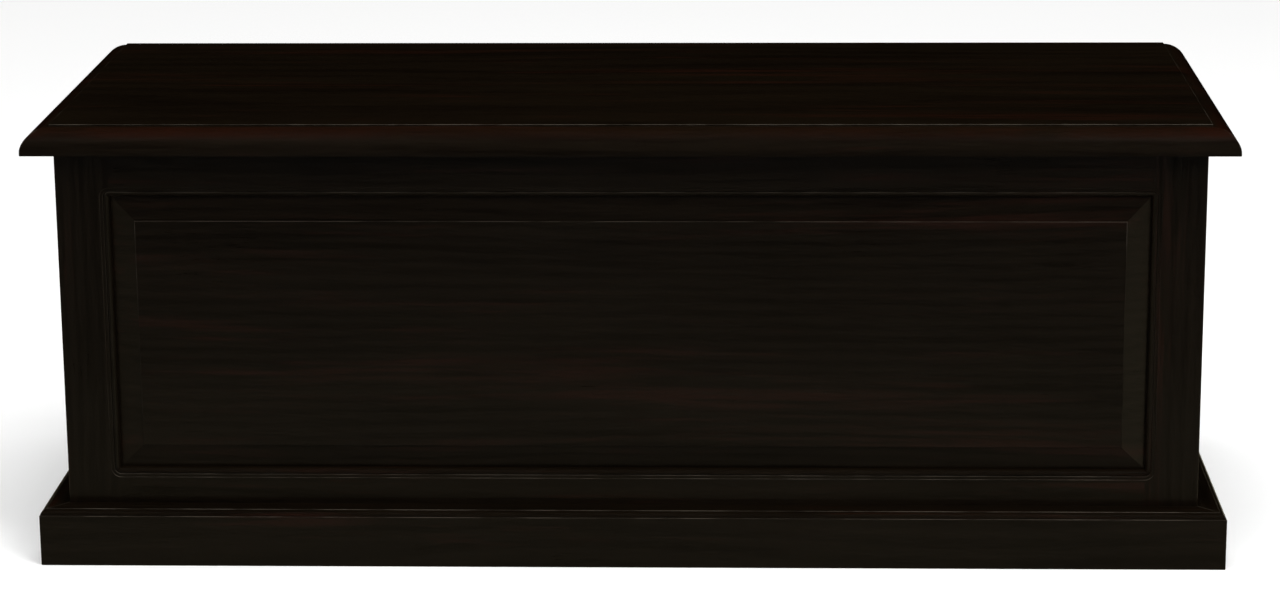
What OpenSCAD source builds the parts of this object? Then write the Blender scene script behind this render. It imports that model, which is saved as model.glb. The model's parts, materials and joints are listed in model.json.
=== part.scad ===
// Blanket chest used as a storage bench: frame-and-panel box, moulded lid on
// three butt hinges, plinth round the base, and two slotted lid stays.
// Millimetres, +Z up, front towards -Y. The origin is on the floor, midway
// between the chest's ends and midway between its lid's front edge and the
// back of its hinge barrels.

/* [Chest] */
// Width of the lid, end to end
lid_w = 1250; // [1100:10:1400]
// Depth of the lid, front edge to back edge
lid_d = 500; // [460:5:560]
// Height of the closed chest
chest_h = 470; // [440:5:520]
// How far the lid overhangs the box at the front and ends
lid_overhang = 30; // [20:1:34]

/* [Lid] */
// Thickness of the lid
lid_t = 28; // [24:1:34]
// Height of the flat at the bottom of the lid's moulded edge
lid_flat = 1; // [0.5:0.5:8]
// Width of the lid's moulding
lid_mould_w = 27; // [18:1:32]
// Height of the small step from the moulding up to the top
lid_step = 1.6; // [1:0.1:4]
// Radius of the lid's front corners, seen from above
lid_corner_r = 2.5; // [1:0.5:8]
// Gap between the rim and the closed lid
lid_gap = 1; // [0.6:0.1:2]

/* [Frames] */
// Thickness of the stiles and rails
frame_t = 22; // [20:1:26]
// Width of a stile as seen at the front and the back
stile_w = 56; // [48:1:70]
// Width of the top rails
top_rail_w = 49; // [44:1:60]
// Height of the panel openings' lower edge above the floor
opening_low = 99.5; // [90:0.5:130]
// Width of the moulding run round each opening
stick_w = 10; // [8:0.5:12]
// Depth of that moulding
stick_d = 8; // [6:0.5:8]
// Depth of its flat outer fillet
stick_step = 0.8; // [0.5:0.1:1.5]

/* [Panels] */
// Thickness of a panel's tongue
tongue_t = 6; // [5:0.5:8]
// Width of the bevel round a raised panel
bevel_w = 25; // [15:1:35]
// Height of the step at the edge of the raised field
field_step = 1.8; // [0.8:0.1:2.5]
// How far the raised field lies behind the face of the frame
field_set = 0.4; // [0:0.1:2]
// Thickness of the bottom panel
bottom_t = 10; // [6:1:15]

/* [Plinth] */
// Height of the plinth
plinth_h = 61; // [50:1:80]
// How far the plinth stands out from the frames
plinth_t = 28; // [18:1:30]
// Width and height of the rounding on the plinth's outer edge
plinth_mould = 5.4; // [4:0.1:8]
// Height of the small steps above and below that rounding
plinth_step = 1; // [0.4:0.1:2]

/* [Hinges] */
// Length of a hinge
hinge_l = 76; // [60:1:100]
// Width of a hinge leaf
leaf_w = 20; // [16:0.5:20]
// Thickness of a hinge leaf
leaf_t = 2; // [1.5:0.1:2]
// Radius of a hinge barrel
barrel_r = 4; // [3.8:0.1:5]
// Distance of the outer hinges from the middle one
hinge_spread = 430; // [250:5:480]

/* [Stays] */
// Distance of the stay's two pivots from the hinge axis
stay_r = 195; // [180:1:205]
// Angle that the lid opens to
open_angle = 100; // [85:1:100]
// Width of the stay's arm
arm_w = 14; // [12:0.5:16]
// Thickness of the stay's arm
arm_t = 2.5; // [2:0.1:3]

/* [Hidden] */

$fn = 48;
cut = 1; // how far a cutter reaches past what it cuts
arc_steps = 16; // segments in a moulding's curve

mahogany = [0.16, 0.07, 0.045];
lid_colour = [0.15, 0.065, 0.04];
panel_colour = [0.18, 0.08, 0.05];
plain_wood = [0.55, 0.40, 0.26];
brass = [0.72, 0.55, 0.26];
felt = [0.12, 0.10, 0.09];

// Levels and faces
lid_boards = 4;
lid_low = chest_h - lid_t;
rim = lid_low - lid_gap;
barrel_gap = 0.5;
lid_front = -(lid_d + barrel_gap + 2 * barrel_r) / 2;
lid_back = lid_front + lid_d;
axis_y = lid_back + barrel_gap + barrel_r;
axis_z = lid_low - lid_gap / 2;
box_w = lid_w - 2 * lid_overhang;
box_front = lid_front + lid_overhang;
inner_x = box_w / 2 - frame_t;
inner_front = box_front + frame_t;
inner_back = lid_back - frame_t;
side_y = (inner_front + inner_back) / 2;
side_w = inner_back - inner_front;
side_stile_w = stile_w - frame_t;
opening_high = rim - top_rail_w;

// Moulding round the openings: the share of its width that is round, and the
// narrow quirk between the round and the fillet
stick_round = 0.58 * stick_w;
quirk_w = 0.9;
quirk_d = 2.2;

// Grooves and tongues
groove_y = stick_d + 0.5;
groove_d = 10;
tongue_in = groove_d - 1;
tenon_in = groove_d - 0.2;

// Bottom panel, its cleats and the corner blocks
bottom_low = 58;
bottom_play = 0.5;
cleat_w = 18;
cleat_h = 20;
cleat_low = bottom_low - cleat_h;
cleat_screw_l = 30;
cleat_screw_xs = [-450, -150, 150, 450];
cleat_screw_dys = [-130, 0, 130];
block_leg = 40;
block_low = 2;

// Screws: shank radius, head radius and head height
screw_r = 1.75;
screw_head_r = 3.3;
screw_head_h = 1.6;
screw_tip = 4;
screw_tip_r = 0.4;
slot_w = 0.8;
slot_d = 0.7;
bore_play = 0.05;

// Hinges
knuckles = 5;
knuckle_gap = 0.2;
knuckle_l = hinge_l / knuckles;
pin_r = 2;
pin_fit = 0.02;
pin_play = 0.06;
pin_head_r = 3.1;
pin_head_h = 1.4;
leaf_edge = barrel_r + 0.3;
tab_in = 2.6;
leaf_screw_xs = [-27, 0, 27];
hinge_screw_l = 17;
hinge_xs = [-hinge_spread, 0, hinge_spread];
mortise_play = 0.1;
pin_end_gap = 0.15;

// Battens
batten_w = 50;
batten_t = 16;
batten_x = 400;
batten_play = 7;
batten_run = 12;
batten_front = inner_front + batten_play;
batten_back = inner_back - batten_play;
batten_screw_end = 22;
batten_screw_l = 32;
batten_screw_pitch = (batten_back - batten_front - 2 * batten_screw_end) / (lid_boards - 1);

// Stays. The bracket's pivot and the keeper's stud are equally far from the
// hinge axis, so the arm turns through half of the lid's angle.
bracket_drop = 3.5;
keeper_drop = 10.5;
stud_r = 3;
slot_play = 0.15;
rivet_r = 2.5;
rivet_play = 0.05;
rivet_gap = 0.1;
stay_gap = 0.35;
plate_t = 2;
arm_out = inner_x - 4.3;
arm_inner = arm_out - arm_t;
ear_t = 2.2;
ear_out = arm_inner - stay_gap;
ear_in = ear_out - ear_t;
ear_r = 9;
flange_w = 24;
flange_l = 46;
keeper_l = 44;
keeper_h = 15;
stay_screw_dy = 15;
stay_screw_l = 15;
rivet_head_r = 4.2;
rivet_head_h = 1.2;
stud_head_r = 6;
stud_head_h = 1.8;
shoulder_r = 5;
arm_tip = 4;
pivot = [axis_y - stay_r * cos(bracket_drop), axis_z - stay_r * sin(bracket_drop)];
stud = [axis_y - stay_r * cos(keeper_drop), axis_z - stay_r * sin(keeper_drop)];
closed_chord = 2 * stay_r * sin((keeper_drop - bracket_drop) / 2);
open_chord = 2 * stay_r * sin((keeper_drop - bracket_drop + open_angle) / 2);
arm_angle = atan2(stud[1] - pivot[1], stud[0] - pivot[0]);

bumper_r = 5;

// ---- Screws ----

// Countersunk slotted screw pointing down, its head's top at the origin
module screw(l) {
    difference() {
        union() {
            translate([0, 0, -screw_head_h])
                cylinder(h = screw_head_h, r1 = screw_r, r2 = screw_head_r);
            translate([0, 0, screw_tip - l])
                cylinder(h = l - screw_tip - screw_head_h, r = screw_r);
            translate([0, 0, -l])
                cylinder(h = screw_tip, r1 = screw_tip_r, r2 = screw_r);
        }
        translate([-screw_head_r - cut, -slot_w / 2, -slot_d])
            cube([2 * (screw_head_r + cut), slot_w, slot_d + cut]);
    }
}

// The hole that such a screw sits in
module screw_hole(l) {
    translate([0, 0, -screw_head_h])
        cylinder(h = screw_head_h, r1 = screw_r + bore_play, r2 = screw_head_r + bore_play);
    translate([0, 0, -l - bore_play])
        cylinder(h = l + bore_play, r = screw_r + bore_play);
    cylinder(h = cut, r = screw_head_r + bore_play);
}

// ---- Frames, each drawn with its outer face on y = 0, facing -Y ----

module at_front() {
    translate([0, box_front, 0]) children();
}

module at_back() {
    translate([0, lid_back, 0]) rotate([0, 0, 180]) children();
}

module at_left() {
    translate([-box_w / 2, side_y, 0]) rotate([0, 0, -90]) children();
}

module at_right() {
    translate([box_w / 2, side_y, 0]) rotate([0, 0, 90]) children();
}

// What the opening's moulding takes away: across from the edge, and in depth.
// A flat fillet, a narrow quirk, then a quarter round down to the opening's wall.
function stick_section(inner) = concat(
    [[inner, -cut], [stick_w, -cut], [stick_w, stick_step]],
    [[stick_round + quirk_w, stick_step], [stick_round + quirk_w, quirk_d]],
    [[stick_round, quirk_d]],
    [for (i = [0 : arc_steps]) let (t = 90 * i / arc_steps)
        [stick_round * (1 - sin(t)), stick_d - (stick_d - stick_step) * cos(t)]],
    inner < 0 ? [[inner, stick_d]] : []
);

module stick_corner() {
    rotate([-90, 0, 0]) rotate_extrude(angle = 90) polygon(stick_section(0));
}

// Half-width of the panel opening of a frame
function opening(w, stile) = w / 2 - stile;

// Stile on the +X side of a frame that is w wide
module stile(w, stile, moulded) {
    a = opening(w, stile);
    difference() {
        translate([a, 0, 0]) cube([stile, frame_t, rim]);
        translate([a - cut, groove_y, -cut])
            cube([groove_d + cut, tongue_t, rim + 2 * cut]);
        if (moulded) {
            translate([a, 0, opening_low])
                linear_extrude(opening_high - opening_low) polygon(stick_section(-cut));
            translate([a, 0, opening_low]) stick_corner();
            translate([a, 0, opening_high]) mirror([0, 0, 1]) stick_corner();
        }
    }
}

module left_stile(w, stile, moulded) {
    mirror([1, 0, 0]) stile(w, stile, moulded);
}

// A top rail drawn from the opening's edge upwards; its ends carry tenons
module rail(w, stile, h, moulded) {
    a = opening(w, stile);
    difference() {
        union() {
            translate([-a, 0, 0]) cube([2 * a, frame_t, h]);
            translate([-a - tenon_in, groove_y, groove_d])
                cube([2 * (a + tenon_in), tongue_t, h - groove_d]);
        }
        translate([-a - cut, groove_y, -cut])
            cube([2 * (a + cut), tongue_t, groove_d + cut]);
        if (moulded)
            translate([a, 0, 0]) rotate([0, -90, 0])
                linear_extrude(2 * a) polygon(stick_section(-cut));
    }
}

module top_rail(w, stile, moulded) {
    translate([0, 0, opening_high]) rail(w, stile, top_rail_w, moulded);
}

module bottom_rail(w, stile, moulded) {
    translate([0, 0, opening_low]) mirror([0, 0, 1]) rail(w, stile, opening_low, moulded);
}

// Raised panel's section: tongue, bevel, small step and flat field
function half_section(a) = [
    [a - bevel_w, field_set],
    [a - bevel_w, field_set + field_step],
    [a, groove_y],
    [a + tongue_in, groove_y],
    [a + tongue_in, groove_y + tongue_t]
];

function panel_section(a) = concat(
    half_section(a),
    [for (i = [4 : -1 : 0]) let (p = half_section(a)[i]) [-p[0], p[1]]]
);

module raised_panel(w, stile) {
    a = opening(w, stile);
    h = (opening_high - opening_low) / 2;
    color(panel_colour) translate([0, 0, opening_low + h]) intersection() {
        translate([0, 0, -h - tongue_in])
            linear_extrude(2 * (h + tongue_in)) polygon(panel_section(a));
        translate([a + tongue_in, 0, 0]) rotate([0, -90, 0])
            linear_extrude(2 * (a + tongue_in)) polygon(panel_section(h));
    }
}

module flat_panel(w, stile) {
    a = opening(w, stile) + tongue_in;
    color(panel_colour) translate([-a, groove_y, opening_low - tongue_in])
        cube([2 * a, tongue_t, opening_high - opening_low + 2 * tongue_in]);
}

// ---- Front frame ----

module front_left_stile() {
    color(mahogany) at_front() left_stile(box_w, stile_w, true);
}

module front_right_stile() {
    color(mahogany) at_front() stile(box_w, stile_w, true);
}

module front_top_rail() {
    color(mahogany) at_front() top_rail(box_w, stile_w, true);
}

module front_bottom_rail() {
    color(mahogany) difference() {
        at_front() bottom_rail(box_w, stile_w, true);
        at_cleat_screws() screw_hole(cleat_screw_l);
    }
}

// ---- Side frames ----

// side is -1 for the left frame, whose front stile lies towards its +X
module side_stile(side, front) {
    color(mahogany) {
        if (side < 0) at_left() {
            if (front) stile(side_w, side_stile_w, true);
            else left_stile(side_w, side_stile_w, true);
        }
        else at_right() {
            if (front) left_stile(side_w, side_stile_w, true);
            else stile(side_w, side_stile_w, true);
        }
    }
}

module side_top_rail(side) {
    color(mahogany) difference() {
        if (side < 0) at_left() top_rail(side_w, side_stile_w, true);
        else at_right() top_rail(side_w, side_stile_w, true);
        at_keeper_screws(side) screw_hole(stay_screw_l);
    }
}

module side_bottom_rail(side) {
    color(mahogany) difference() {
        if (side < 0) at_left() bottom_rail(side_w, side_stile_w, true);
        else at_right() bottom_rail(side_w, side_stile_w, true);
        at_cleat_screws() screw_hole(cleat_screw_l);
    }
}

module side_panel(side) {
    if (side < 0) at_left() raised_panel(side_w, side_stile_w);
    else at_right() raised_panel(side_w, side_stile_w);
}

// ---- Back frame ----

module back_left_stile() {
    color(mahogany) at_back() stile(box_w, stile_w, false);
}

module back_right_stile() {
    color(mahogany) at_back() left_stile(box_w, stile_w, false);
}

module back_top_rail() {
    color(mahogany) difference() {
        at_back() top_rail(box_w, stile_w, false);
        for (x = hinge_xs)
            translate([x - hinge_l / 2 - mortise_play, lid_back - leaf_w - mortise_play, rim - leaf_t])
                cube([hinge_l + 2 * mortise_play, leaf_w + mortise_play + cut, leaf_t + cut]);
        for (x = hinge_xs)
            at_leaf_screws(x, rim) screw_hole(hinge_screw_l);
    }
}

module back_bottom_rail() {
    color(mahogany) difference() {
        at_back() bottom_rail(box_w, stile_w, false);
        at_cleat_screws() screw_hole(cleat_screw_l);
    }
}

// ---- Bottom ----

module bottom_panel() {
    color(plain_wood)
        translate([bottom_play - inner_x, inner_front + bottom_play, bottom_low])
            cube([2 * (inner_x - bottom_play), side_w - 2 * bottom_play, bottom_t]);
}

module front_cleat() {
    color(plain_wood) difference() {
        translate([-inner_x, inner_front, cleat_low]) cube([2 * inner_x, cleat_w, cleat_h]);
        at_cleat_screws() screw_hole(cleat_screw_l);
    }
}

module back_cleat() {
    color(plain_wood) difference() {
        translate([-inner_x, inner_back - cleat_w, cleat_low])
            cube([2 * inner_x, cleat_w, cleat_h]);
        at_cleat_screws() screw_hole(cleat_screw_l);
    }
}

module side_cleat(side) {
    color(plain_wood) difference() {
        translate([side < 0 ? -inner_x : inner_x - cleat_w, inner_front + cleat_w, cleat_low])
            cube([cleat_w, side_w - 2 * cleat_w, cleat_h]);
        at_cleat_screws() screw_hole(cleat_screw_l);
    }
}

// Places each cleat screw, its head flush with the cleat's inner face
module at_cleat_screws() {
    z = cleat_low + cleat_h / 2;
    for (x = cleat_screw_xs) {
        translate([x, inner_front + cleat_w, z]) rotate([-90, 0, 0]) children();
        translate([x, inner_back - cleat_w, z]) rotate([90, 0, 0]) children();
    }
    for (dy = cleat_screw_dys) {
        translate([cleat_w - inner_x, side_y + dy, z]) rotate([0, 90, 0]) children();
        translate([inner_x - cleat_w, side_y + dy, z]) rotate([0, -90, 0]) children();
    }
}

module cleat_screws() {
    color(brass) at_cleat_screws() screw(cleat_screw_l);
}

// Triangular blocks glued into the corners under the cleats
module corner_blocks() {
    color(plain_wood)
        for (sx = [0, 1], sy = [0, 1])
            translate([0, side_y, block_low]) mirror([sx, 0, 0]) mirror([0, sy, 0])
                translate([inner_x, side_w / 2, 0])
                    linear_extrude(cleat_low - block_low)
                        polygon([[0, 0], [-block_leg, 0], [0, -block_leg]]);
}

// ---- Plinth ----

// Section: out from the frames, and up
function plinth_section() = concat(
    [[0, 0], [0, plinth_h], [plinth_t - plinth_step - plinth_mould, plinth_h]],
    [for (i = [0 : arc_steps]) let (t = 90 * i / arc_steps)
        [plinth_t - plinth_step - plinth_mould * (1 - sin(t)),
         plinth_h - plinth_step - plinth_mould * (1 - cos(t))]],
    [[plinth_t, plinth_h - plinth_step - plinth_mould], [plinth_t, 0]]
);

module plinth_front() {
    end = box_w / 2 + plinth_t;
    color(mahogany) intersection() {
        translate([end, box_front, 0]) rotate([90, 0, -90])
            linear_extrude(2 * end) polygon(plinth_section());
        linear_extrude(plinth_h)
            polygon([[-box_w / 2, box_front], [-end, box_front - plinth_t],
                     [end, box_front - plinth_t], [box_w / 2, box_front]]);
    }
}

module plinth_side(side) {
    color(mahogany) mirror([side < 0 ? 1 : 0, 0, 0]) intersection() {
        translate([box_w / 2, lid_back, 0]) rotate([90, 0, 0])
            linear_extrude(lid_back - box_front + plinth_t) polygon(plinth_section());
        translate([box_w / 2, 0, 0]) linear_extrude(plinth_h)
            polygon([[0, box_front], [plinth_t, box_front - plinth_t],
                     [plinth_t, lid_back], [0, lid_back]]);
    }
}

// ---- Hinges ----

// Places each screw of the leaf whose inner face is at height z
module at_leaf_screws(x, z) {
    for (dx = leaf_screw_xs) translate([x + dx, lid_back - leaf_w / 2, z]) children();
}

// A leaf with the knuckles named in own, and its screw holes
module leaf(x, low, own, play) {
    translate([x - hinge_l / 2, lid_back - leaf_w, low])
        cube([hinge_l, axis_y - leaf_edge - lid_back + leaf_w, leaf_t]);
    for (k = own) translate([x - hinge_l / 2 + k * knuckle_l + knuckle_gap / 2, 0, 0]) {
        translate([0, axis_y - leaf_edge - cut, low])
            cube([knuckle_l - knuckle_gap, leaf_edge + cut - tab_in, leaf_t]);
        translate([0, axis_y, axis_z]) rotate([0, 90, 0]) difference() {
            cylinder(h = knuckle_l - knuckle_gap, r = barrel_r);
            translate([0, 0, -cut])
                cylinder(h = knuckle_l + 2 * cut, r = pin_r + play);
        }
    }
}

module hinge_box_leaf(x) {
    color(brass) difference() {
        leaf(x, rim - leaf_t, [0, 2, 4], pin_fit);
        at_leaf_screws(x, rim) screw_hole(hinge_screw_l);
    }
}

module hinge_lid_leaf(x) {
    color(brass) difference() {
        leaf(x, lid_low, [1, 3], pin_play);
        at_leaf_screws(x, lid_low) mirror([0, 0, 1]) screw_hole(hinge_screw_l);
    }
}

module hinge_pin(x) {
    color(brass) translate([x, axis_y, axis_z]) rotate([0, 90, 0]) {
        cylinder(h = hinge_l + 2 * pin_end_gap, r = pin_r, center = true);
        for (end = [0, 1]) mirror([0, 0, end])
            translate([0, 0, hinge_l / 2 + pin_end_gap])
                cylinder(h = pin_head_h, r1 = pin_head_r, r2 = pin_r);
    }
}

module hinge_box_screws() {
    color(brass) for (x = hinge_xs) at_leaf_screws(x, rim) screw(hinge_screw_l);
}

module hinge_lid_screws() {
    color(brass) for (x = hinge_xs)
        at_leaf_screws(x, lid_low) mirror([0, 0, 1]) screw(hinge_screw_l);
}

// ---- Lid ----

// Moulded edge, from the flat at the bottom up to the small step
function lid_edge() = [
    for (i = [0 : arc_steps]) let (t = 90 * i / arc_steps)
        [lid_mould_w * (cos(t) - 1), lid_flat + (lid_t - lid_step - lid_flat) * sin(t)]
];

function lid_across() = concat(
    [[-lid_w / 2, 0], [lid_w / 2, 0]],
    [for (p = lid_edge()) [lid_w / 2 + p[0], p[1]]],
    [[lid_w / 2 - lid_mould_w, lid_t], [lid_mould_w - lid_w / 2, lid_t]],
    [for (i = [arc_steps : -1 : 0]) let (p = lid_edge()[i]) [-lid_w / 2 - p[0], p[1]]]
);

function lid_along() = concat(
    [[lid_back, 0], [lid_back, lid_t], [lid_front + lid_mould_w, lid_t]],
    [for (i = [arc_steps : -1 : 0]) let (p = lid_edge()[i]) [lid_front - p[0], p[1]]],
    [[lid_front, 0]]
);

module lid_corner_cut() {
    translate([lid_w / 2 - lid_corner_r, lid_front + lid_corner_r, lid_low - cut])
        linear_extrude(lid_t + 2 * cut) difference() {
            translate([0, -lid_corner_r - cut]) square(lid_corner_r + cut);
            circle(lid_corner_r);
        }
}

// Board n of the lid, counted from the front
module lid_board(n) {
    color(lid_colour) difference() {
        intersection() {
            translate([0, lid_back, lid_low]) rotate([90, 0, 0])
                linear_extrude(lid_d) polygon(lid_across());
            translate([-lid_w / 2, 0, lid_low]) rotate([90, 0, 90])
                linear_extrude(lid_w) polygon(lid_along());
            translate([-lid_w / 2, lid_front + (n - 1) * lid_d / lid_boards, lid_low])
                cube([lid_w, lid_d / lid_boards, lid_t]);
        }
        if (n == 1) {
            lid_corner_cut();
            mirror([1, 0, 0]) lid_corner_cut();
        }
        if (n == lid_boards) {
            for (x = hinge_xs)
                translate([x - hinge_l / 2 - mortise_play, lid_back - leaf_w - mortise_play, lid_low - cut])
                    cube([hinge_l + 2 * mortise_play, leaf_w + mortise_play + cut, leaf_t + cut]);
            for (x = hinge_xs)
                at_leaf_screws(x, lid_low) mirror([0, 0, 1]) screw_hole(hinge_screw_l);
        }
        for (side = [-1, 1]) {
            at_batten_screws(side) screw_hole(batten_screw_l);
            at_bracket_screws(side) screw_hole(stay_screw_l);
        }
    }
}

module lid_batten(side) {
    low = lid_low - batten_t;
    color(plain_wood) difference() {
        translate([side * batten_x - batten_w / 2, 0, 0]) rotate([90, 0, 90])
            linear_extrude(batten_w)
                polygon([[batten_front, lid_low], [batten_front, low + batten_run],
                         [batten_front + batten_run, low], [batten_back - batten_run, low],
                         [batten_back, low + batten_run], [batten_back, lid_low]]);
        at_batten_screws(side) screw_hole(batten_screw_l);
    }
}

// One screw up into each board of the lid
module at_batten_screws(side) {
    for (i = [0 : lid_boards - 1])
        translate([side * batten_x,
                   batten_front + batten_screw_end + i * batten_screw_pitch,
                   lid_low - batten_t])
            mirror([0, 0, 1]) children();
}

module batten_screws() {
    color(brass) for (side = [-1, 1]) at_batten_screws(side) screw(batten_screw_l);
}

module lid_bumpers() {
    color(felt) for (side = [-1, 1])
        translate([side * (box_w - stile_w) / 2, box_front + frame_t / 2, rim])
            cylinder(h = lid_gap, r = bumper_r);
}

// ---- Stays, drawn for the right side and mirrored for the left ----

module on_side(side) {
    mirror([side < 0 ? 1 : 0, 0, 0]) children();
}

// A solid t thick along X from x, drawn flat in Y and Z
module upright(x, t) {
    translate([x, 0, 0]) rotate([90, 0, 90]) linear_extrude(t) children();
}

module stay_bracket(side) {
    color(brass) on_side(side) difference() {
        union() {
            upright(ear_in, ear_t) {
                translate(pivot) circle(ear_r);
                translate([pivot[0] - ear_r, pivot[1]])
                    square([2 * ear_r, lid_low - pivot[1]]);
            }
            translate([ear_out - flange_w, pivot[0] - flange_l / 2, lid_low - plate_t])
                cube([flange_w, flange_l, plate_t]);
        }
        upright(ear_in - cut, ear_t + 2 * cut) translate(pivot) circle(rivet_r + pin_fit);
        at_bracket_screws(1) screw_hole(stay_screw_l);
    }
}

module at_bracket_screws(side) {
    on_side(side) for (dy = [-stay_screw_dy, stay_screw_dy])
        translate([ear_in - (flange_w - ear_t) / 2, pivot[0] + dy, lid_low - plate_t])
            mirror([0, 0, 1]) children();
}

module stay_rivet(side) {
    color(brass) on_side(side) {
        upright(ear_in, arm_out + rivet_gap - ear_in) translate(pivot) circle(rivet_r);
        upright(ear_in - rivet_head_h, rivet_head_h) translate(pivot) circle(rivet_head_r);
        upright(arm_out + rivet_gap, rivet_head_h) translate(pivot) circle(rivet_head_r);
    }
}

// The slot's ends are where the stud lies with the lid shut and fully open
module stay_arm(side) {
    color(brass) on_side(side) upright(arm_inner, arm_t)
        translate(pivot) rotate(arm_angle) difference() {
            union() {
                circle(arm_w / 2);
                translate([0, -arm_w / 2]) square([open_chord + arm_tip, arm_w]);
                translate([open_chord + arm_tip, 0]) circle(arm_w / 2);
            }
            circle(rivet_r + rivet_play);
            translate([closed_chord, -stud_r - slot_play])
                square([open_chord - closed_chord, 2 * (stud_r + slot_play)]);
            translate([closed_chord, 0]) circle(stud_r + slot_play);
            translate([open_chord, 0]) circle(stud_r + slot_play);
        }
}

module stay_keeper(side) {
    color(brass) on_side(side) {
        difference() {
            translate([inner_x - plate_t, stud[0] - keeper_l / 2, stud[1] - keeper_h / 2])
                cube([plate_t, keeper_l, keeper_h]);
            at_keeper_screws(1) screw_hole(stay_screw_l);
        }
        upright(arm_out + stay_gap, inner_x - plate_t - arm_out - stay_gap)
            translate(stud) circle(shoulder_r);
        upright(arm_inner - stay_gap, arm_t + 2 * stay_gap) translate(stud) circle(stud_r);
        upright(arm_inner - stay_gap - stud_head_h, stud_head_h)
            translate(stud) circle(stud_head_r);
    }
}

module at_keeper_screws(side) {
    on_side(side) for (dy = [-stay_screw_dy, stay_screw_dy])
        translate([inner_x - plate_t, stud[0] + dy, stud[1]]) rotate([0, -90, 0]) children();
}

module stay_bracket_screws() {
    color(brass) for (side = [-1, 1]) at_bracket_screws(side) screw(stay_screw_l);
}

module stay_keeper_screws() {
    color(brass) for (side = [-1, 1]) at_keeper_screws(side) screw(stay_screw_l);
}

front_left_stile();
front_right_stile();
front_top_rail();
front_bottom_rail();
at_front() raised_panel(box_w, stile_w);  // front_panel
side_stile(-1, true);  // left_front_stile
side_stile(-1, false);  // left_back_stile
side_top_rail(-1);  // left_top_rail
side_bottom_rail(-1);  // left_bottom_rail
side_panel(-1);  // left_panel
side_stile(1, true);  // right_front_stile
side_stile(1, false);  // right_back_stile
side_top_rail(1);  // right_top_rail
side_bottom_rail(1);  // right_bottom_rail
side_panel(1);  // right_panel
back_left_stile();
back_right_stile();
back_top_rail();
back_bottom_rail();
at_back() flat_panel(box_w, stile_w);  // back_panel
bottom_panel();
front_cleat();
back_cleat();
side_cleat(-1);  // left_cleat
side_cleat(1);  // right_cleat
cleat_screws();
corner_blocks();
plinth_front();
plinth_side(-1);  // plinth_left
plinth_side(1);  // plinth_right
hinge_box_leaf(hinge_xs[0]);  // hinge_left_box_leaf
hinge_lid_leaf(hinge_xs[0]);  // hinge_left_lid_leaf
hinge_pin(hinge_xs[0]);  // hinge_left_pin
hinge_box_leaf(hinge_xs[1]);  // hinge_middle_box_leaf
hinge_lid_leaf(hinge_xs[1]);  // hinge_middle_lid_leaf
hinge_pin(hinge_xs[1]);  // hinge_middle_pin
hinge_box_leaf(hinge_xs[2]);  // hinge_right_box_leaf
hinge_lid_leaf(hinge_xs[2]);  // hinge_right_lid_leaf
hinge_pin(hinge_xs[2]);  // hinge_right_pin
hinge_box_screws();
hinge_lid_screws();
lid_board(1);  // lid_board_1
lid_board(2);  // lid_board_2
lid_board(3);  // lid_board_3
lid_board(4);  // lid_board_4
lid_batten(-1);  // lid_batten_left
lid_batten(1);  // lid_batten_right
batten_screws();
lid_bumpers();
stay_bracket(-1);  // stay_bracket_left
stay_rivet(-1);  // stay_rivet_left
stay_arm(-1);  // stay_arm_left
stay_keeper(-1);  // stay_keeper_left
stay_bracket(1);  // stay_bracket_right
stay_rivet(1);  // stay_rivet_right
stay_arm(1);  // stay_arm_right
stay_keeper(1);  // stay_keeper_right
stay_bracket_screws();
stay_keeper_screws();
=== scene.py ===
import json
import math
import random

import bpy
from mathutils import Matrix, Vector


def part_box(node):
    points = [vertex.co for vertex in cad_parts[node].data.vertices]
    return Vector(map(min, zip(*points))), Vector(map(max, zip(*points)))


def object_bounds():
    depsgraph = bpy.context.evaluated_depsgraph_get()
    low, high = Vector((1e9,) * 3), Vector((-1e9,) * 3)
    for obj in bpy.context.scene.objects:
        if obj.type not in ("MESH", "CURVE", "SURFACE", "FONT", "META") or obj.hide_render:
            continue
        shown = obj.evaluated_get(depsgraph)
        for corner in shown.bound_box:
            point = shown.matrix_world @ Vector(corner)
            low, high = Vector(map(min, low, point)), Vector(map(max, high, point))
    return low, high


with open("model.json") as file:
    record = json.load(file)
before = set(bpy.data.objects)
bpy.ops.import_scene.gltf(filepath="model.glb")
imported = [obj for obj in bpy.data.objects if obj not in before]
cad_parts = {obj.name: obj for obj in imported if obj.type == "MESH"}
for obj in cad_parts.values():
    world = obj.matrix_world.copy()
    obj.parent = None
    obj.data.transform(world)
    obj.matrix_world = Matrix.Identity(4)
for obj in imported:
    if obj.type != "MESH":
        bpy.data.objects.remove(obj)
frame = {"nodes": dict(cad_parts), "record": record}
cad_low, cad_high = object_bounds()
nodes = frame["nodes"]
MM = 0.001
lid_boxes = [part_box(f"lid_board_{n}") for n in (1, 2, 3, 4)]
lid_box = (
    Vector(min(low[i] for low, _ in lid_boxes) for i in range(3)),
    Vector(max(high[i] for _, high in lid_boxes) for i in range(3)),
)

# ---------------------------------------------------------------- camera

# Fitted to the chest's outline: metres, radians, and millimetres of lens and sensor
CAMERA_X = 0.1389
CAMERA_BEFORE_LID = 3.571
CAMERA_Z = 1.2007
YAW = -0.0354
PITCH = -0.2500
ROLL = -0.0072
LENS = 100.6
SENSOR = 36.0


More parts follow.
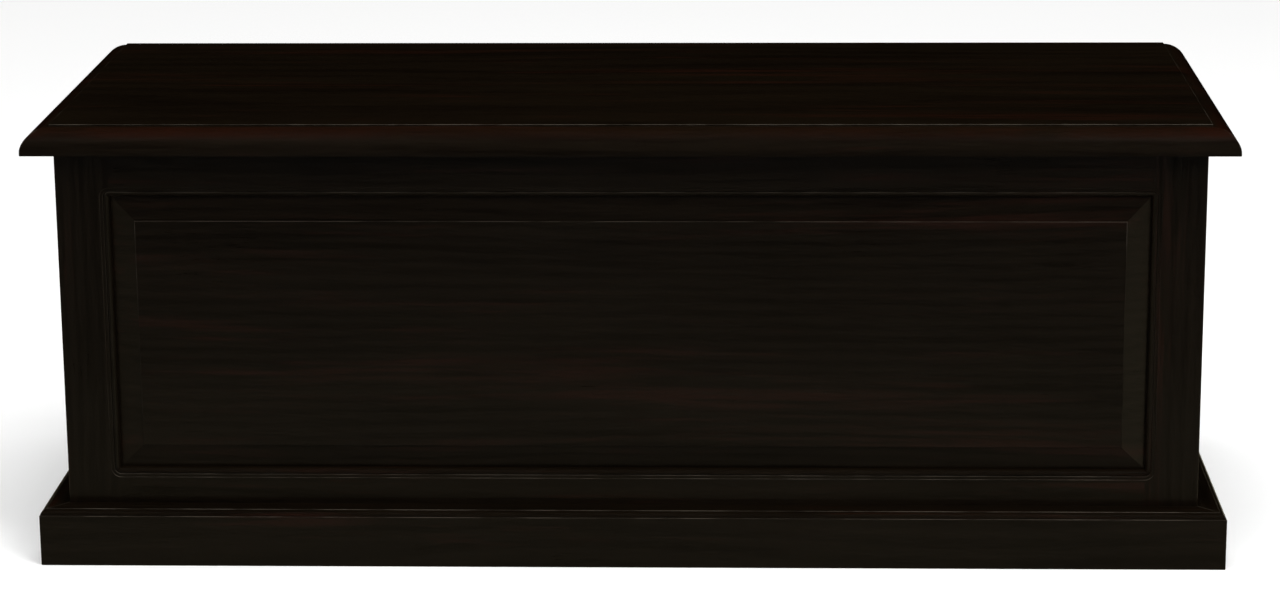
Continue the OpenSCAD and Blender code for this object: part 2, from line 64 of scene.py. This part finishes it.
def make_camera():
    """A view of the front from a little to the right and above the lid, with no shift."""
    data = bpy.data.cameras.new("camera")
    data.lens = LENS
    data.sensor_width = SENSOR
    data.sensor_fit = "HORIZONTAL"
    data.clip_start = 0.05
    data.clip_end = 200
    ahead = Vector((math.sin(YAW), math.cos(YAW), 0))
    forward = math.cos(PITCH) * ahead + Vector((0, 0, math.sin(PITCH)))
    level = Vector((math.cos(YAW), -math.sin(YAW), 0))
    above = level.cross(forward)
    right = math.cos(ROLL) * level + math.sin(ROLL) * above
    up = math.cos(ROLL) * above - math.sin(ROLL) * level
    camera = bpy.data.objects.new("camera", data)
    turn = Matrix((right, up, -forward)).transposed().to_4x4()
    place = Matrix.Translation((CAMERA_X, cad_low.y - CAMERA_BEFORE_LID, CAMERA_Z))
    camera.matrix_world = place @ turn
    bpy.context.scene.collection.objects.link(camera)
    bpy.context.scene.camera = camera


# ---------------------------------------------------------------- node trees


class Tree:
    """Adds nodes to a node tree: inputs are values or the sockets that feed them."""

    def __init__(self, tree):
        self.tree = tree
        tree.nodes.clear()

    def add(self, kind, inputs=None, **settings):
        node = self.tree.nodes.new(kind)
        for name, value in settings.items():
            setattr(node, name, value)
        for name, value in (inputs or {}).items():
            self.feed(node.inputs[name], value)
        return node

    def feed(self, socket, value):
        if isinstance(value, bpy.types.NodeSocket):
            self.tree.links.new(value, socket)
        else:
            socket.default_value = value

    def maths(self, operation, a, b=0.0, c=0.0):
        inputs = {0: a, 1: b, 2: c}
        return self.add("ShaderNodeMath", inputs, operation=operation).outputs[0]

    def noise(self, vector, scale, detail=2.0, rough=0.5):
        inputs = {"Vector": vector, "Scale": scale, "Detail": detail, "Roughness": rough}
        return self.add("ShaderNodeTexNoise", inputs).outputs["Fac"]

    def spread(self, value, low, high, to_low=0.0, to_high=1.0):
        """Eases from to_low to to_high as value goes from low to high."""
        inputs = {"Value": value, "From Min": low, "From Max": high, "To Min": to_low, "To Max": to_high}
        return self.add("ShaderNodeMapRange", inputs, interpolation_type="SMOOTHSTEP").outputs[0]

    def mix(self, share, a, b):
        node = self.add("ShaderNodeMix", data_type="RGBA")
        for socket, value in zip((node.inputs[0], node.inputs[6], node.inputs[7]), (share, a, b)):
            self.feed(socket, value)
        return node.outputs[2]

    def vector(self, operation, a, b, output="Vector"):
        return self.add("ShaderNodeVectorMath", {0: a, 1: b}, operation=operation).outputs[output]

    def stretched(self, vector, scales):
        """Coordinates for a texture that has scales steps per metre along each axis."""
        return self.vector("MULTIPLY", vector, scales)


def new_material(name):
    material = bpy.data.materials.new(name)
    material.use_nodes = True
    return material, Tree(material.node_tree)


def finish_material(tree, colour, rough, bumps, fixed):
    """Principled surface. bumps is [(height, metres of depth, strength)], fixed the constant sockets."""
    normal = None
    for height, distance, strength in bumps:
        inputs = {"Height": height, "Distance": distance, "Strength": strength}
        if normal is not None:
            inputs["Normal"] = normal
        normal = tree.add("ShaderNodeBump", inputs).outputs[0]
    inputs = {"Base Color": colour, "Roughness": rough, **fixed}
    if normal is not None:
        inputs["Normal"] = normal
    shader = tree.add("ShaderNodeBsdfPrincipled", inputs).outputs[0]
    tree.add("ShaderNodeOutputMaterial", {"Surface": shader})


# ---------------------------------------------------------------- wood

# Turns of the grain: the axis that the fibres run along becomes the texture's X
GRAIN_TURN = {"X": (0, 0, 0), "Y": (0, 0, -math.pi / 2), "Z": (0, math.pi / 2, 0)}

MAHOGANY = {
    "dark": (0.0023, 0.0014, 0.0007, 1),
    "mid": (0.0042, 0.0027, 0.0014, 1),
    "light": (0.0060, 0.0038, 0.0019, 1),
    "red": (0.0104, 0.0033, 0.0017, 1),
    # worn: edge wear and a painted highlight on the rounded arrises
    "worn": (0.052, 0.043, 0.032, 1),
    # rubbed: wear and a painted highlight band on the lid's moulding
    "rubbed": (0.0090, 0.0026, 0.0012, 1),
}
LACQUER = {
    "IOR": 1.45,
    "Specular IOR Level": 0.35,
    "Coat Weight": 0.35,
    "Coat Roughness": 0.12,
    "Coat IOR": 1.4,
}
PLAIN = {
    "dark": (0.20, 0.105, 0.050, 1),
    "mid": (0.30, 0.170, 0.085, 1),
    "light": (0.40, 0.245, 0.130, 1),
    "red": (0.34, 0.160, 0.075, 1),
    # worn: edge wear and a painted highlight on the rounded arrises
    "worn": (0.46, 0.300, 0.170, 1),
}
BARE = {"IOR": 1.45, "Specular IOR Level": 0.3}
LACQUER_ROUGHNESS = 0.30
BARE_ROUGHNESS = 0.62
FIRST_SEED = 100

# The rings' spacing, and how far rings and fibres stray from straight
RING_PITCH = 12.083 * MM
RING_WAVER = 20 * MM
WANDER = 30 * MM

# Where the band of wear and painted highlight on the lid's moulded rim fades in and out, inwards from the
# outline
RIM_BEGINS = (3 * MM, 10 * MM)
RIM_ENDS = (27 * MM, 18 * MM)

# Layers of the figure: steps per metre along and across the fibres, then the noise's detail and roughness
LAYERS = {
    "broad": ((2.4, 15, 15), 5, 0.6),
    "streak": ((4, 150, 150), 5, 0.7),
    "hair": ((20, 560, 560), 4, 0.75),
    "fleck": ((90, 420, 420), 3, 0.7),
    "pores": ((70, 1500, 1500), 1, 0.4),
    "blush": ((2.0, 30, 30), 5, 0.65),
}
SHARES = {"broad": 0.30, "streak": 0.13, "ring": 0.05, "hair": 0.34, "fleck": 0.23}


def rings_of(tree, fibre, offset, draw):
    """Growth rings round a heart that lies outside the board."""
    split = tree.add("ShaderNodeSeparateXYZ", {0: fibre})
    heart = (draw.uniform(0.08, 0.16), draw.uniform(0.05, 0.12))
    across = tree.maths("ADD", tree.maths("SUBTRACT", split.outputs[1], offset[1]), heart[0])
    through = tree.maths("ADD", tree.maths("SUBTRACT", split.outputs[2], offset[2]), heart[1])
    squared = tree.maths("ADD", tree.maths("POWER", across, 2.0), tree.maths("POWER", through, 2.0))
    waver = tree.noise(tree.stretched(fibre, (1.2, 9, 9)), 1.0, 3)
    radius = tree.maths("ADD", tree.maths("SQRT", squared), tree.maths("MULTIPLY", waver, RING_WAVER))
    wave = tree.maths("SINE", tree.maths("MULTIPLY", radius, 2 * math.pi / RING_PITCH))
    return tree.spread(wave, -1.0, 1.0)


def rim_wear_and_highlight(tree, place):
    """How far the lid's moulded edge is lightened: partly stain worn thin by hands, partly a painted
    highlight along its rounding, most at the front corners.
    """
    low, high = lid_box
    x, y, _ = tree.add("ShaderNodeSeparateXYZ", {0: place}).outputs
    from_end = tree.maths("SUBTRACT", high.x, tree.maths("ABSOLUTE", x))
    from_front = tree.maths("SUBTRACT", y, low.y)
    near = tree.maths("MINIMUM", from_end, from_front)
    outer = tree.spread(near, *RIM_BEGINS)
    inner = tree.spread(near, *RIM_ENDS)
    thin = tree.spread(tree.noise(tree.stretched(place, (5, 5, 5)), 1.0, 4, 0.6), 0.26, 0.56)
    # Lighter towards the ends and the front: partly wear, partly painted highlight where the light falls
    # strongest
    ends = tree.spread(tree.maths("ABSOLUTE", x), 0.1, 0.55, 0.35, 1.0)
    front = tree.spread(from_front, 0.20, 0.03, 0.25, 1.0)
    rim = tree.maths("MULTIPLY", tree.maths("MULTIPLY", outer, inner), thin)
    return tree.maths("MULTIPLY", rim, tree.maths("MULTIPLY", ends, front))


def fibres(tree, turned):
    """Coordinates along the fibres, which wander over WANDER as they run along the board."""
    inputs = {"Vector": tree.stretched(turned, (1.6, 5, 5)), "Scale": 1.0, "Detail": 1.0}
    drift = tree.add("ShaderNodeTexNoise", inputs).outputs["Color"]
    centred = tree.vector("SUBTRACT", drift, (0.5, 0.5, 0.5))
    sideways = tree.vector("MULTIPLY", centred, (0.0, WANDER, WANDER))
    return tree.vector("ADD", turned, sideways)


def arris_wear_and_highlight(tree, place):
    """Lightens the arrises: partly real wear, mostly a painted highlight along the rounded edges, in
    broken lengths and brightest where they face up, towards the lights above.
    """
    arris = tree.add("ShaderNodeAttribute", attribute_name="arris").outputs["Fac"]
    broken = tree.spread(tree.noise(place, 23.0, 4, 0.65), 0.38, 0.62)
    normal = tree.add("ShaderNodeTexCoord").outputs["Normal"]
    facing = tree.add("ShaderNodeSeparateXYZ", {0: normal}).outputs[2]
    # Painted highlight: arrises that face up are made lighter, as if lit from above
    highlight_upward = tree.spread(facing, 0.15, 0.65, 0.15, 1.0)
    arris = tree.maths("MULTIPLY", arris, tree.maths("MULTIPLY_ADD", broken, 0.55, 0.12))
    return tree.maths("MULTIPLY", arris, highlight_upward)


def wood_colour(tree, layers, colours):
    """Dark, mid and light by the figure, with red veins."""
    figure = 0.0
    for layer, share in SHARES.items():
        figure = tree.maths("MULTIPLY_ADD", layers[layer], share, figure)
    low_half = tree.mix(tree.spread(figure, 0.42, 0.55), colours["dark"], colours["mid"])
    colour = tree.mix(tree.spread(figure, 0.52, 0.68), low_half, colours["light"])
    blush = tree.maths("MULTIPLY", layers["blush"], 0.62)
    veins = tree.maths("MULTIPLY_ADD", layers["streak"], 0.45, blush)
    red = tree.maths("MULTIPLY", tree.spread(veins, 0.56, 0.70), 0.75)
    return tree.mix(red, colour, colours["red"])


def wood_roughness(tree, place, layers, level):
    """About level, with dull patches where hands and dusters go."""
    patch = tree.noise(place, 5.5, 3, 0.55)
    rough = tree.maths("MULTIPLY_ADD", patch, 0.12, level - 0.06)
    rough = tree.maths("MULTIPLY_ADD", layers["pores"], 0.10, rough)
    return tree.maths("ADD", rough, tree.maths("MULTIPLY_ADD", layers["hair"], 0.08, -0.04))


def wood(name, grain, seed, colours, fixed, level, rubbed=False):
    """Board with its fibres along grain ("X", "Y" or "Z"). seed places it in the tree, so no two match."""
    draw = random.Random(seed)
    material, tree = new_material(name)
    place = tree.add("ShaderNodeTexCoord").outputs["Object"]
    offset = tuple(draw.uniform(-4, 4) for _ in range(3))
    inputs = {"Vector": place, "Rotation": GRAIN_TURN[grain], "Location": offset}
    turned = tree.add("ShaderNodeMapping", inputs).outputs[0]
    fibre = fibres(tree, turned)
    layers = {"ring": rings_of(tree, fibre, offset, draw)}
    for layer, (scales, detail, rough) in LAYERS.items():
        layers[layer] = tree.noise(tree.stretched(fibre, scales), 1.0, detail, rough)
    layers["pores"] = tree.spread(layers["pores"], 0.58, 0.68)

    colour = wood_colour(tree, layers, colours)
    # Painted highlight band, with some wear, on the lid's moulding
    if rubbed:
        colour = tree.mix(rim_wear_and_highlight(tree, place), colour, colours["rubbed"])
    colour = tree.mix(tree.maths("MULTIPLY", layers["pores"], 0.60), colour, colours["dark"])
    # Painted highlight, with some edge wear, on the rounded arrises
    colour = tree.mix(arris_wear_and_highlight(tree, place), colour, colours["worn"])

    rough = wood_roughness(tree, place, layers, level)
    ripple = tree.noise(tree.stretched(turned, (14, 60, 60)), 1.0, 2, 0.5)
    pits = tree.maths("SUBTRACT", 1.0, layers["pores"])
    bumps = [(ripple, 0.30 * MM, 0.10), (layers["hair"], 0.06 * MM, 0.25), (pits, 0.05 * MM, 0.5)]
    finish_material(tree, colour, rough, bumps, fixed)
    return material


# ---------------------------------------------------------------- metal and felt

BRASS_SEED = 3
CLEAN = (0.62, 0.43, 0.17, 1)
TARNISHED = (0.30, 0.19, 0.075, 1)
BRUSHED = (0.80, 0.60, 0.30, 1)
FELT_LOW = (0.010, 0.008, 0.007, 1)
FELT_HIGH = (0.045, 0.035, 0.028, 1)


def brass():
    """Brushed brass with patches of tarnish."""
    draw = random.Random(BRASS_SEED)
    material, tree = new_material("brass")
    place = tree.add("ShaderNodeTexCoord").outputs["Object"]
    moved = tree.vector("ADD", place, tuple(draw.uniform(-2, 2) for _ in range(3)))
    brushed = tree.noise(tree.stretched(moved, (2600, 160, 2600)), 1.0, 2, 0.6)
    tarnish = tree.spread(tree.noise(moved, 70.0, 4, 0.62), 0.42, 0.68)
    colour = tree.mix(tarnish, CLEAN, TARNISHED)
    colour = tree.mix(tree.maths("MULTIPLY", brushed, 0.25), colour, BRUSHED)
    rough = tree.maths("MULTIPLY_ADD", tarnish, 0.22, 0.24)
    rough = tree.maths("ADD", rough, tree.maths("MULTIPLY", brushed, 0.10))
    finish_material(tree, colour, rough, [(brushed, 0.02 * MM, 0.4)], {"Metallic": 1.0})
    return material


def felt():
    """Dark pressed felt."""
    material, tree = new_material("felt")
    place = tree.add("ShaderNodeTexCoord").outputs["Object"]
    fluff = tree.noise(place, 2600.0, 4, 0.7)
    colour = tree.mix(fluff, FELT_LOW, FELT_HIGH)
    fixed = {"Sheen Weight": 0.6, "Sheen Roughness": 0.5, "Specular IOR Level": 0.1}
    finish_material(tree, colour, 0.95, [(fluff, 0.2 * MM, 0.8)], fixed)
    return material


# ---------------------------------------------------------------- what each node is made of


def grain_of(node):
    """The fibres run along a board's longest side."""
    low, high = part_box(node)
    size = high - low
    return "XYZ"[max(range(3), key=lambda i: size[i])]


def slot_of(name):
    """The material slot that the CAD record gives the node."""
    return next(s["material_slot"] for s in frame["record"]["subparts"] if s["node"] == name)


def set_material(node, material):
    """The second slot is the spare index that the bevel gives its strips, for strip_group() to read."""
    node.data.materials.clear()
    node.data.materials.append(material)
    node.data.materials.append(material)


def dress():
    """One brass and one felt for all, and a wood of its own for each board."""
    hardware = brass()
    pad = felt()
    for number, name in enumerate(sorted(nodes)):
        slot = slot_of(name)
        board = ("wood_" + name, grain_of(name), FIRST_SEED + number)
        if slot == "brass":
            material = hardware
        elif slot == "felt":
            material = pad
        elif slot == "plain_wood":
            material = wood(*board, PLAIN, BARE, BARE_ROUGHNESS)
        else:
            material = wood(*board, MAHOGANY, LACQUER, LACQUER_ROUGHNESS, slot == "lid_mahogany")
        set_material(nodes[name], material)


# ---------------------------------------------------------------- softened edges

X = (1, 0, 0)
Y = (0, 1, 0)
Z = (0, 0, 1)
ON_SEAM = 0.05 * MM
WELD = 0.01 * MM
FLAT = math.radians(0.4)

# Rounded edges: their width, the angle past which shading breaks, and the one past which they are rounded
WOOD_WIDTH = 0.6 * MM
WOOD_SHARP = math.radians(11)
WOOD_BEVEL = math.radians(32)
METAL_WIDTH = 0.12 * MM
METAL_SHARP = math.radians(40)
METAL_BEVEL = math.radians(50)

# Shorter edges of wood stay sharp. Stiles keep the short ones, where the moulding turns its corners
SHORTEST = 3 * MM
SHORTEST_IN_STILE = 0.35 * MM


def frame_planes(side):
    """Planes between the stiles and rails of a frame, and those where its stiles meet the next frames."""
    if side in ("front", "back"):
        left, right = f"{side}_left_stile", f"{side}_right_stile"
        edges = [(X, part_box(left)[1].x), (X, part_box(right)[0].x)]
        turn = [(Y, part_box(left)[1].y if side == "front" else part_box(left)[0].y)]
    else:
        front, back = f"{side}_front_stile", f"{side}_back_stile"
        edges = [(Y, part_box(front)[1].y), (Y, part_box(back)[0].y)]
        turn = [(Y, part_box(front)[0].y), (Y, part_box(back)[1].y)]
    return edges, turn


def seams():
    """{node: [(normal, distance)]}: planes where boards lie flush against each other.

    Edges in them stay tight. The lid's underside counts as one, as its narrow strips would hold the
    bevel back.
    """
    found = {name: [] for name in nodes}
    for n in (1, 2, 3, 4):
        found[f"lid_board_{n}"].append((Z, lid_box[0].z))
    for n in (1, 2, 3):
        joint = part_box(f"lid_board_{n}")[1].y
        found[f"lid_board_{n}"].append((Y, joint))
        found[f"lid_board_{n + 1}"].append((Y, joint))
    for side in ("front", "back", "left", "right"):
        edges, turn = frame_planes(side)
        for name in nodes:
            if name.startswith(side + "_") and name.endswith("_rail"):
                found[name] += edges
            elif name.startswith(side + "_") and name.endswith("_stile"):
                found[name] += edges + turn
    return found


def new_group(name):
    """Geometry nodes with one geometry in and one out."""
    group = bpy.data.node_groups.new(name, "GeometryNodeTree")
    for in_out in ("INPUT", "OUTPUT"):
        group.interface.new_socket("Geometry", in_out=in_out, socket_type="NodeSocketGeometry")
    return group, Tree(group)


def off_seams(tree, ends, planes):
    """1 for an edge that lies on none of the planes, else 0."""
    free = 1.0
    for normal, distance in planes:
        both = 1.0
        for end in ends:
            along = tree.vector("DOT_PRODUCT", end, normal, "Value")
            off = tree.maths("ABSOLUTE", tree.maths("SUBTRACT", along, distance))
            both = tree.maths("MULTIPLY", both, tree.maths("LESS_THAN", off, ON_SEAM))
        free = tree.maths("MULTIPLY", free, tree.maths("SUBTRACT", 1.0, both))
    return free


def edge_group(name, planes, sharp_angle, bevel_angle, shortest):
    """Geometry nodes: shades smooth up to sharp_angle, and weighs the convex edges for the bevel to round.

    Edges under shortest, such as facets of a bore's rim, stay sharp: one would hold the whole bevel back.
    """
    group, tree = new_group("edges_" + name)
    start = tree.add("NodeGroupInput").outputs[0]
    angle = tree.add("GeometryNodeInputMeshEdgeAngle")
    blunt = tree.maths("LESS_THAN", angle.outputs["Unsigned Angle"], sharp_angle)
    convex = tree.maths("GREATER_THAN", angle.outputs["Signed Angle"], bevel_angle)
    edge = tree.add("GeometryNodeInputMeshEdgeVertices")
    ends = [edge.outputs["Position 1"], edge.outputs["Position 2"]]
    length = tree.vector("DISTANCE", ends[0], ends[1], "Value")
    weight = tree.maths("MULTIPLY", convex, tree.maths("GREATER_THAN", length, shortest))
    weight = tree.maths("MULTIPLY", weight, off_seams(tree, ends, planes))
    inputs = {"Geometry": start, "Name": "bevel_weight_edge", "Value": weight}
    settings = {"domain": "EDGE", "data_type": "FLOAT"}
    marked = tree.add("GeometryNodeStoreNamedAttribute", inputs, **settings).outputs[0]
    inputs = {"Geometry": marked, "Shade Smooth": True}
    faces = tree.add("GeometryNodeSetShadeSmooth", inputs, domain="FACE").outputs[0]
    inputs = {"Geometry": faces, "Shade Smooth": blunt}
    edges = tree.add("GeometryNodeSetShadeSmooth", inputs, domain="EDGE").outputs[0]
    tree.add("NodeGroupOutput", {0: edges})
    return group


def strip_group():
    """Geometry nodes after the bevel: its strips, of the spare index, get the attribute "arris"."""
    group, tree = new_group("arris")
    index = tree.add("GeometryNodeInputMaterialIndex").outputs[0]
    inputs = {"Geometry": tree.add("NodeGroupInput").outputs[0], "Name": "arris", "Value": index}
    settings = {"domain": "FACE", "data_type": "FLOAT"}
    marked = tree.add("GeometryNodeStoreNamedAttribute", inputs, **settings).outputs[0]
    plain = tree.add("GeometryNodeSetMaterialIndex", {0: marked, "Material Index": 0}).outputs[0]
    tree.add("NodeGroupOutput", {0: plain})
    return group


def soften(node, width, group, strips):
    """Joins the CAD's coplanar triangles, then rounds the edges that group weighs and marks the strips."""
    weld = node.modifiers.new("weld", "WELD")
    weld.merge_threshold = WELD
    flat = node.modifiers.new("flat", "DECIMATE")
    flat.decimate_type = "DISSOLVE"
    flat.angle_limit = FLAT
    node.modifiers.new("edges", "NODES").node_group = group
    bevel = node.modifiers.new("bevel", "BEVEL")
    bevel.width = width
    bevel.segments = 2
    bevel.limit_method = "WEIGHT"
    bevel.edge_weight = "bevel_weight_edge"
    bevel.use_clamp_overlap = True
    bevel.miter_outer = "MITER_ARC"
    bevel.material = 1
    node.modifiers.new("strips", "NODES").node_group = strips
    even = node.modifiers.new("even", "WEIGHTED_NORMAL")
    even.keep_sharp = True


def soften_all():
    """Wood gets a group of its own per board, for its seams. All the hardware shares one."""
    planes = seams()
    strips = strip_group()
    metal = edge_group("metal", [], METAL_SHARP, METAL_BEVEL, 0)
    for name, node in nodes.items():
        if slot_of(name) in ("brass", "felt"):
            soften(node, METAL_WIDTH, metal, strips)
        else:
            shortest = SHORTEST_IN_STILE if name.endswith("stile") else SHORTEST
            group = edge_group(name, planes[name], WOOD_SHARP, WOOD_BEVEL, shortest)
            soften(node, WOOD_WIDTH, group, strips)


# ---------------------------------------------------------------- studio

# Lights: name, place, aim, size in metres and power in watts
SOFT_BOXES = (
    ("softbox_above", (0.0, -0.6, 2.6), (0, -0.2, 0), (2.6, 1.4), 45),
    ("softbox_right", (1.8, -2.6, 2.4), (0.1, -0.2, 0.25), (1.4, 1.4), 60),
)
# Dim, yellowish cards under the floor that only gloss mirrors
YELLOWISH = (1.0, 0.89, 0.56)
LOW_CARDS = (
    ("glow_floor", (0.0, 0.0, -0.55), (0, 0, 0), (7.8, 7.2), 5.0),
    ("glow_front", (0.3, -1.35, -0.50), (0.3, -0.2, 0.1), (3.4, 0.75), 0.72),
    ("glow_right", (1.9, -2.1, -0.3), (0.5, -0.2, 0.2), (1.2, 1.2), 0.75),
    ("glow_left", (-1.9, -2.1, -0.3), (-0.5, -0.2, 0.2), (1.2, 1.2), 0.35),
)
ROUND_CARDS = tuple(
    (f"glow_round_{n}", (x, y, -0.42), (0.3 * x, 0.3 * y, 0.15), (2.0, 0.9), 1.5)
    for n, (x, y) in enumerate(((2.3, 0.2), (2.0, 1.9), (0.0, 1.7), (-2.0, 1.9), (-2.3, 0.2)))
)
# White cards above that only gloss mirrors: the sheen of the lid
HIGH_CARDS = (
    ("glow_above_left", (-1.1, -0.9, 2.4), (-0.6, -0.2, 0.4), (1.1, 0.7), 0.11),
    ("glow_above_right", (1.0, -0.9, 2.4), (0.6, -0.2, 0.4), (1.1, 0.7), 0.20),
)
# Bright cards that only the brass mirrors
SHEEN_CARDS = (
    ("sheen_above", (0, -0.6, 2.8), (0, 0, 0.4), (4, 3), 30),
    ("sheen_front", (0.4, -3.2, 1.2), (0, 0, 0.4), (3, 1.6), 9),
    ("sheen_back", (-0.4, 3.2, 1.2), (0, 0, 0.4), (3, 1.6), 9),
)
FLOOR_REACH = 40


def area_light(name, place, aim, size, power, sees="diffuse", colour=(1, 1, 1)):
    """A soft box. sees is the sort of ray it lights: "diffuse" fills, "glossy" shows as a reflection."""
    data = bpy.data.lights.new(name, "AREA")
    data.shape = "RECTANGLE"
    data.size, data.size_y = size
    data.energy = power
    data.color = colour
    light = bpy.data.objects.new(name, data)
    light.location = place
    light.rotation_mode = "QUATERNION"
    light.rotation_quaternion = (Vector(aim) - Vector(place)).to_track_quat("-Z", "Y")
    light.visible_camera = False
    light.visible_diffuse = sees == "diffuse"
    light.visible_glossy = sees == "glossy"
    bpy.context.scene.collection.objects.link(light)
    return light


def make_world():
    """Even, soft daylight, brighter above. Gloss doesn't mirror it, only the cards."""
    world = bpy.data.worlds.new("studio")
    bpy.context.scene.world = world
    world.use_nodes = True
    tree = Tree(world.node_tree)
    direction = tree.add("ShaderNodeTexCoord").outputs["Generated"]
    height = tree.add("ShaderNodeSeparateXYZ", {0: direction}).outputs[2]
    level = tree.spread(height, -0.1, 0.9, 0.62, 1.02)
    back = tree.add("ShaderNodeBackground", {"Color": (1, 1, 1, 1), "Strength": level}).outputs[0]
    tree.add("ShaderNodeOutputWorld", {"Surface": back})
    world.cycles_visibility.glossy = False


def make_floor():
    """Pale, matt floor. Gloss looks through it, to the cards below."""
    material, tree = new_material("floor")
    place = tree.add("ShaderNodeTexCoord").outputs["Object"]
    cloud = tree.noise(place, 0.8, 3, 0.5)
    colour = tree.mix(cloud, (0.88, 0.88, 0.88, 1), (0.91, 0.91, 0.905, 1))
    finish_material(tree, colour, 0.9, [], {"Specular IOR Level": 0.0})
    mesh = bpy.data.meshes.new("floor")
    corners = [(x * FLOOR_REACH, y * FLOOR_REACH, 0) for x, y in ((-1, -1), (1, -1), (1, 1), (-1, 1))]
    mesh.from_pydata(corners, [], [(0, 1, 2, 3)])
    mesh.materials.append(material)
    floor = bpy.data.objects.new("floor", mesh)
    floor.location.z = cad_low.z
    floor.visible_glossy = False
    bpy.context.scene.collection.objects.link(floor)


def light_hardware():
    """The sheen cards light the brass nodes and nothing else."""
    hardware = bpy.data.collections.new("hardware")
    for name, node in nodes.items():
        if slot_of(name) == "brass":
            hardware.objects.link(node)
    for card in SHEEN_CARDS:
        light = area_light(*card, "glossy")
        light.light_linking.receiver_collection = hardware


def make_studio():
    """Daylight, floor, soft boxes and the cards that gloss mirrors."""
    make_world()
    make_floor()
    for box in SOFT_BOXES:
        area_light(*box)
    for card in LOW_CARDS + ROUND_CARDS:
        area_light(*card, "glossy", YELLOWISH)
    for card in HIGH_CARDS:
        area_light(*card, "glossy")
    light_hardware()
    bpy.context.scene.view_settings.view_transform = "Standard"


make_camera()
dress()
soften_all()
make_studio()
